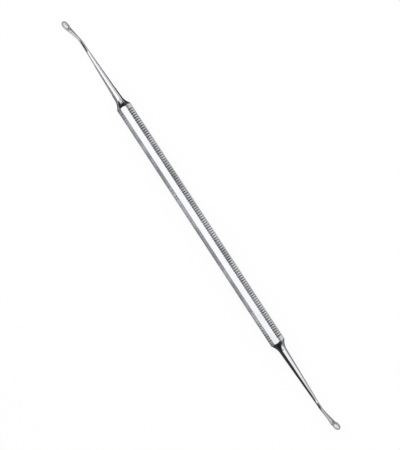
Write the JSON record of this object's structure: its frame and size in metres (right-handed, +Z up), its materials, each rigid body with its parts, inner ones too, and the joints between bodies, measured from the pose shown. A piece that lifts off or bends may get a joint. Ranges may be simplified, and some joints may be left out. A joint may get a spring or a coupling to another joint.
{
  "type": "double-ended bone curette",
  "caption": "Slim one-piece steel curette: a serrated octagonal handle between tapered necks that bend up into small sharp-rimmed spoon cups, for scraping bone and soft tissue.",
  "frame": {"origin": "middle of the handle's lowest flat, which lies on the surface", "axes": "+X along the handle towards the end with the rounder cup, +Y across it towards the side that both cups lean to, +Z up, the way the cups open"},
  "size_m": [0.175, 0.0059, 0.0105],
  "materials": {
    "polished_steel": "mirror-polished stainless steel, satin in the serrations"
  },
  "bodies": {
    "root": {"curette": "polished_steel"}
  },
  "joints": []
}
